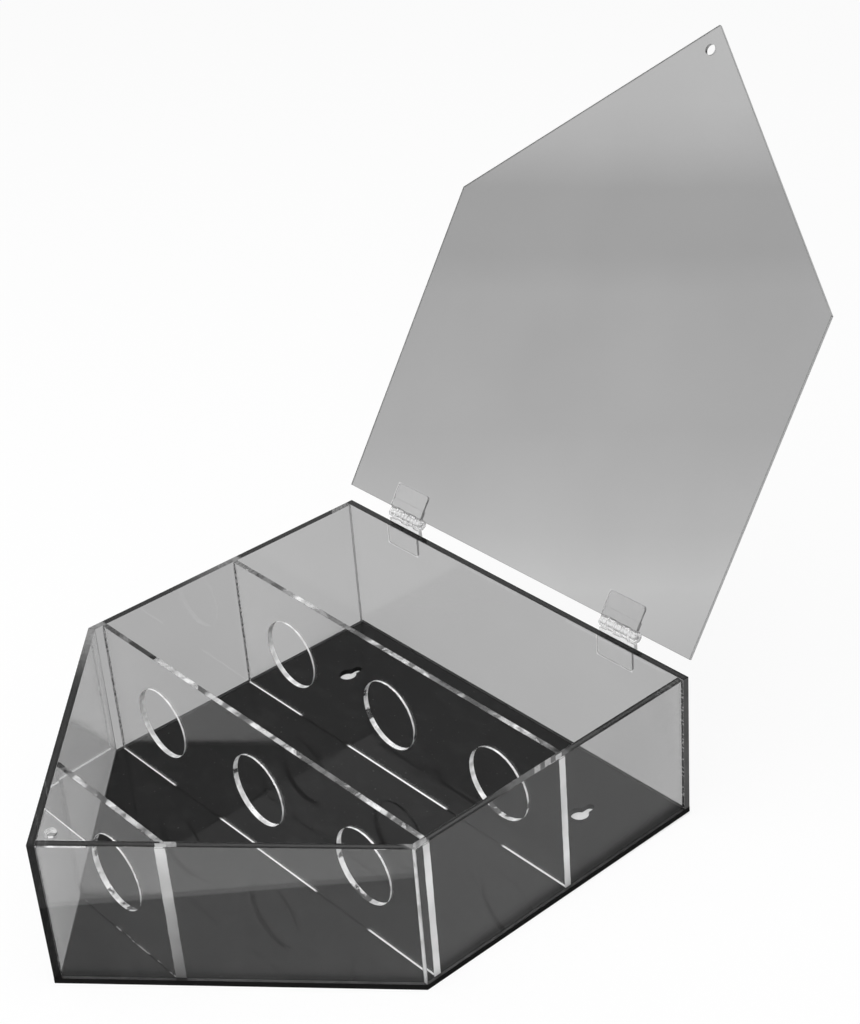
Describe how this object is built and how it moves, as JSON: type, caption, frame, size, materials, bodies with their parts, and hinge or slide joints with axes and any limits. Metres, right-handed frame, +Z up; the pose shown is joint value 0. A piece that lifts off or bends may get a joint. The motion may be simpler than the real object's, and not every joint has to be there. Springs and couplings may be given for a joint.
{
  "type": "baseball display case",
  "caption": "Clear home-plate shaped display case with a black base, shelves with round ball seats, wall keyholes and a hinged lid.",
  "frame": {"origin": "middle of the base sheet's footprint, on its underside", "axes": "+Z up through the rim, +Y towards the hinge edge, the tip points to -Y"},
  "size_m": [0.2694, 0.4849, 0.3532],
  "materials": {
    "black_acrylic": "polished black sheet",
    "clear_acrylic": "polished clear sheet",
    "clear_hinge_plastic": "moulded clear plastic"
  },
  "bodies": {
    "case": {"base_panel": "black_acrylic", "back_wall": "clear_acrylic", "left_wall": "clear_acrylic", "right_wall": "clear_acrylic", "front_left_wall": "clear_acrylic", "front_right_wall": "clear_acrylic", "upper_shelf": "clear_acrylic", "middle_shelf": "clear_acrylic", "lower_shelf": "clear_acrylic", "corner_gusset": "clear_acrylic", "left_hinge_wall_leaf": "clear_hinge_plastic", "left_hinge_pin": "clear_hinge_plastic", "right_hinge_wall_leaf": "clear_hinge_plastic", "right_hinge_pin": "clear_hinge_plastic"},
    "lid": {"lid_panel": "clear_acrylic", "left_hinge_lid_leaf": "clear_hinge_plastic", "right_hinge_lid_leaf": "clear_hinge_plastic"}
  },
  "joints": [
    {"name": "lid_hinge", "type": "hinge", "parent": "case", "child": "lid", "pos_m": [0, 0.15775, 0.09095], "axis": [1, 0, 0], "range_deg": [0, 123.9]}
  ]
}
